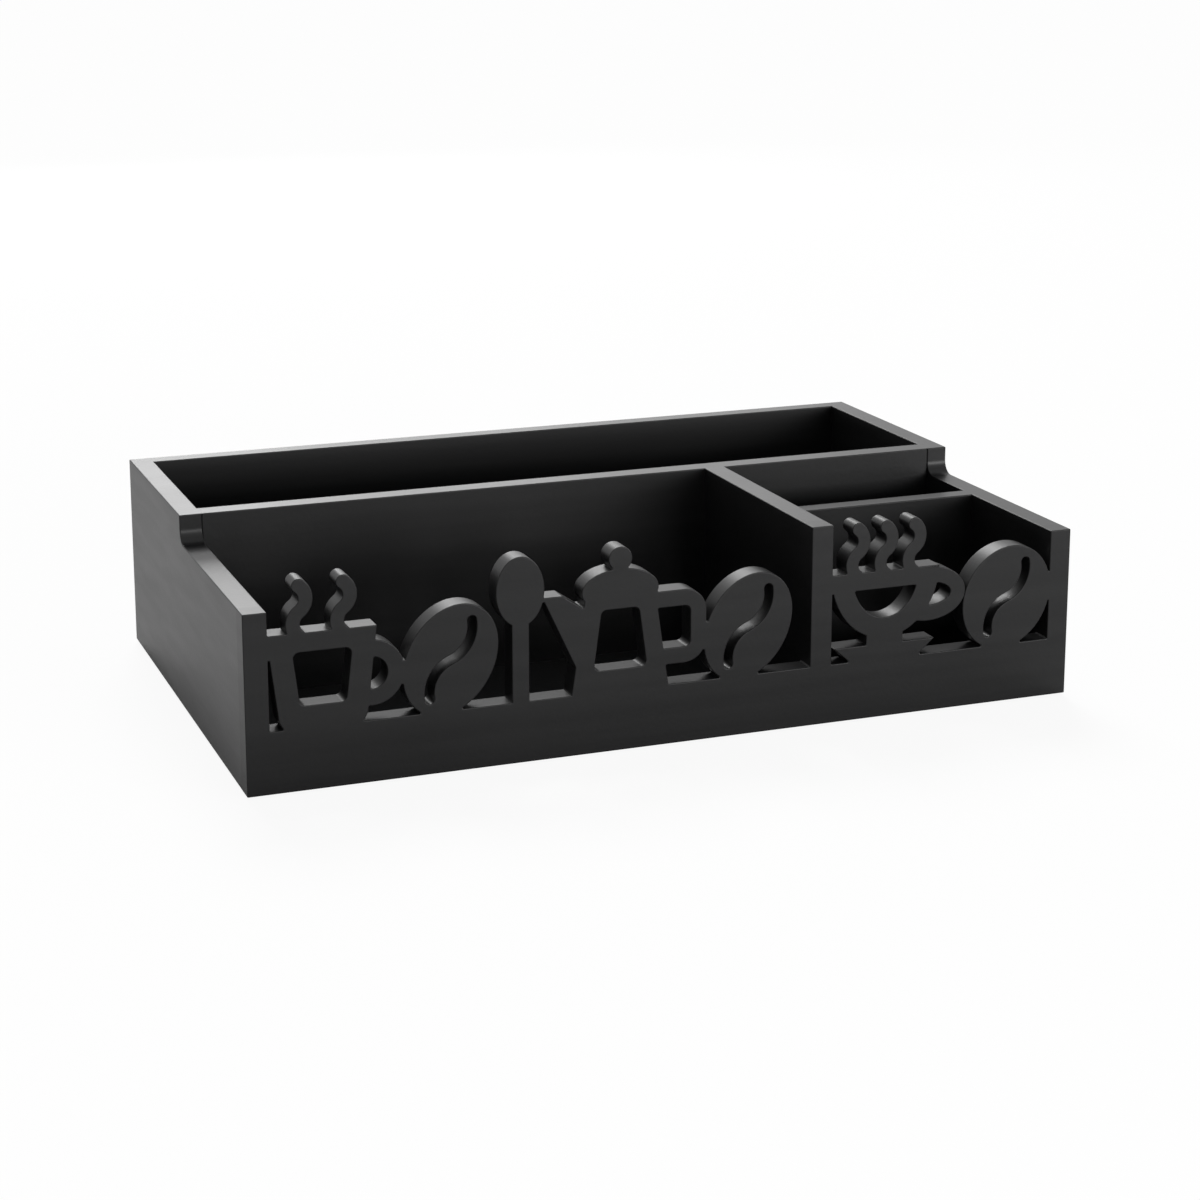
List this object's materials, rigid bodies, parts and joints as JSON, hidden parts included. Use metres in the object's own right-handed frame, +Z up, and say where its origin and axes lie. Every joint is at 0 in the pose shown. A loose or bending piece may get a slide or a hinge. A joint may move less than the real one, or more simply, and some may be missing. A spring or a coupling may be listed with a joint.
{
  "type": "coffee station organizer",
  "caption": "Low black board tray with a long back compartment, three front compartments and a cut-out fretwork front board, for pods, sachets and stirrers.",
  "frame": {"origin": "centre of the footprint, on the surface the foot pads stand on", "axes": "+X to the right seen from the front, +Y to the back, +Z up"},
  "size_m": [0.3, 0.185, 0.072],
  "materials": {
    "painted_board": "satin black paint on fibreboard",
    "dowel_wood": "bare beech",
    "pin_steel": "bright wire",
    "pad_rubber": "matt self-adhesive rubber"
  },
  "bodies": {
    "root": {"left_side_panel": "painted_board", "right_side_panel": "painted_board", "back_panel": "painted_board", "front_panel": "painted_board", "middle_divider": "painted_board", "centre_partition": "painted_board", "short_divider": "painted_board", "base_board": "painted_board", "front_corner_dowels": "dowel_wood", "back_corner_dowels": "dowel_wood", "middle_divider_dowels": "dowel_wood", "centre_partition_dowels": "dowel_wood", "short_divider_dowels": "dowel_wood", "base_board_pins": "pin_steel", "foot_pads": "pad_rubber"}
  },
  "joints": []
}
